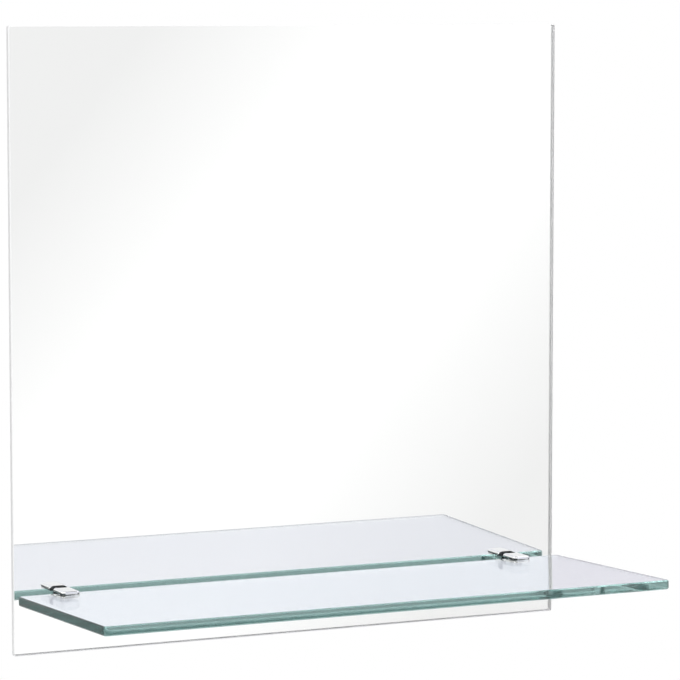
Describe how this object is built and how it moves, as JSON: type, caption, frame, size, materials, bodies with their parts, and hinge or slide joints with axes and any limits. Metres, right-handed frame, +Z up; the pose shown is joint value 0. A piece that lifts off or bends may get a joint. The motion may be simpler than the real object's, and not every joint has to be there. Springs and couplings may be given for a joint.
{
  "type": "mirror with shelf",
  "caption": "Frameless wall mirror with a clear glass shelf held across its lower part by chromed clamps, hung on keyhole plates.",
  "frame": {"origin": "on the wall plane, midway between the entry holes of the two hanger keyholes", "axes": "+Y into the wall, so the mirror faces -Y; +Z up; +X to the right for someone facing the mirror"},
  "size_m": [0.39, 0.1688, 0.4],
  "materials": {
    "mirror_glass": "clear float glass, ground and polished arris",
    "silver": "silvered, seen through the glass",
    "backing_paint": "matt grey protective paint, faint curtain-coat streaks",
    "shelf_glass": "clear toughened float glass, polished flat edges with arris",
    "clamp_chrome": "polished chrome on die cast zinc",
    "white_nylon": "moulded nylon, satin",
    "screw_steel": "bright steel thread",
    "black_rubber": "matt black rubber",
    "zinc_steel": "blue zinc plated",
    "hanger_steel": "zinc plated sheet, faint spangle and rolling lines",
    "foam_tape": "white closed-cell foam tape",
    "spacer_rubber": "dark grey moulded rubber"
  },
  "bodies": {
    "mirror": {"mirror_glass": "mirror_glass", "mirror_silvering": "silver", "backing_paint": "backing_paint", "clamp_body_left": "clamp_chrome", "clamp_body_right": "clamp_chrome", "clamp_pad_left": "black_rubber", "clamp_pad_right": "black_rubber", "clamp_gasket_left": "black_rubber", "clamp_gasket_right": "black_rubber", "mirror_bush_left": "white_nylon", "mirror_bush_right": "white_nylon", "fixing_washer_left": "zinc_steel", "fixing_washer_right": "zinc_steel", "fixing_screw_left": "zinc_steel", "fixing_screw_right": "zinc_steel", "hanger_plate_left": "hanger_steel", "hanger_plate_right": "hanger_steel", "hanger_tape_left": "foam_tape", "hanger_tape_right": "foam_tape", "wall_spacer_left": "spacer_rubber", "wall_spacer_right": "spacer_rubber", "spacer_tape_left": "foam_tape", "spacer_tape_right": "foam_tape"},
    "shelf": {"shelf_glass": "shelf_glass"},
    "left_foot": {"pressure_foot_left": "white_nylon"},
    "right_foot": {"pressure_foot_right": "white_nylon"},
    "left_screw": {"clamp_screw_left": "screw_steel"},
    "right_screw": {"clamp_screw_right": "screw_steel"}
  },
  "joints": [
    {"name": "shelf_slide", "type": "slide", "parent": "mirror", "child": "shelf", "axis": [0, -0.9994, 0.0349], "range_m": [0, 0.011]},
    {"name": "left_foot_feed", "type": "slide", "parent": "mirror", "child": "left_foot", "axis": [0, -0.0349, -0.9994], "range_m": [0, 0.0021]},
    {"name": "left_screw_turn", "type": "hinge", "parent": "left_foot", "child": "left_screw", "pos_m": [-0.1625, -0.02446, -0.3074], "axis": [0, -0.0349, -0.9994], "range_deg": [0, 1080]},
    {"name": "right_foot_feed", "type": "slide", "parent": "mirror", "child": "right_foot", "axis": [0, -0.0349, -0.9994], "range_m": [0, 0.0021]},
    {"name": "right_screw_turn", "type": "hinge", "parent": "right_foot", "child": "right_screw", "pos_m": [0.1625, -0.02446, -0.3074], "axis": [0, -0.0349, -0.9994], "range_deg": [0, 1080]}
  ],
  "couplings": [
    {"joint": "left_screw_turn", "follows": "left_foot_feed", "rad_per_m": 8976},
    {"joint": "right_screw_turn", "follows": "right_foot_feed", "rad_per_m": 8976}
  ]
}
